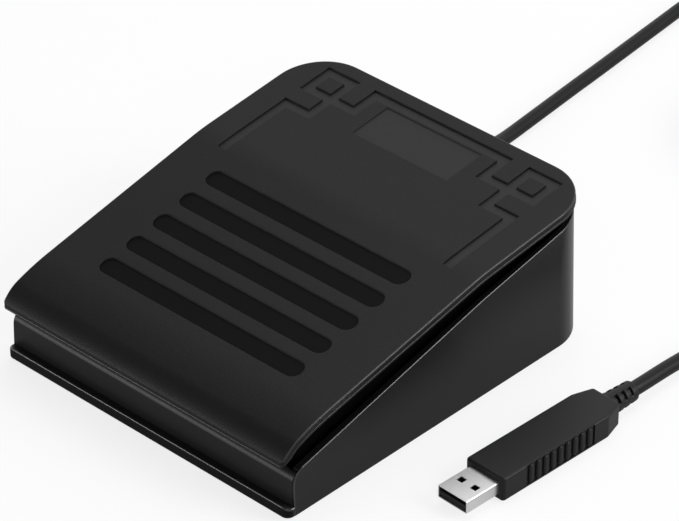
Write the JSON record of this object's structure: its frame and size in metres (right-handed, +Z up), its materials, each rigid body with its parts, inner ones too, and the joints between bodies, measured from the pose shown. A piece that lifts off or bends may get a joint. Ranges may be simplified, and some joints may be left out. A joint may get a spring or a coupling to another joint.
{
  "type": "foot pedal switch",
  "caption": "Foot pedal switch: a sprung, bent pedal plate on a wedge base, with a coiled lead and a USB plug.",
  "frame": {"origin": "on the floor, under the middle of the base and its pedal", "axes": "+X to the right, +Y to the rear where the lead leaves, +Z up"},
  "size_m": [0.1648, 0.3457, 0.0522],
  "materials": {
    "pedal_plastic": "fine texture, charcoal",
    "shell_plastic": "satin, charcoal",
    "lead_jacket": "satin vinyl, charcoal",
    "grip_plastic": "satin, charcoal",
    "nickel": "nickel plate, satin",
    "plated_steel": "zinc plate",
    "rubber": "matte",
    "black_plastic": "matte",
    "white_nylon": "matte",
    "board_green": "solder mask",
    "plunger_red": "matte",
    "gold": "gold plate"
  },
  "bodies": {
    "base": {"base_tray": "shell_plastic", "side_shell": "shell_plastic", "tray_screws": "plated_steel", "rubber_feet": "rubber", "hinge_pin": "plated_steel", "pin_clips": "plated_steel", "return_spring_left": "plated_steel", "return_spring_right": "plated_steel", "circuit_board": "board_green", "board_screws": "plated_steel", "switch_body": "black_plastic", "switch_pins": "gold", "controller_chip": "black_plastic", "crystal_can": "nickel", "lead_header": "white_nylon", "lead_connector": "white_nylon", "inner_wires": "lead_jacket", "inner_jacket": "lead_jacket", "lead_clamp": "black_plastic", "clamp_screws": "plated_steel", "lead_boot": "lead_jacket", "lead_rear_run": "lead_jacket", "lead_coil": "lead_jacket", "lead_plug_run": "lead_jacket", "coil_tie": "black_plastic", "plug_grip": "grip_plastic", "plug_shell": "nickel", "plug_tongue": "black_plastic", "plug_contacts": "gold"},
    "pedal": {"pedal_plate": "pedal_plastic"},
    "plunger": {"switch_plunger": "plunger_red"}
  },
  "joints": [
    {"name": "pedal_hinge", "type": "hinge", "parent": "base", "child": "pedal", "pos_m": [0, 0.05928, 0.0388], "axis": [1, 0, 0], "range_deg": [0, 3], "stiffness_Nm_per_rad": 11, "springref_deg": -2.29, "deforming": ["return_spring_left", "return_spring_right"]},
    {"name": "plunger_slide", "type": "slide", "parent": "base", "child": "plunger", "axis": [0, 0, -1], "range_m": [0, 0.0018]}
  ],
  "couplings": [
    {"joint": "plunger_slide", "follows": "pedal_hinge", "m_per_rad": 0.032}
  ]
}
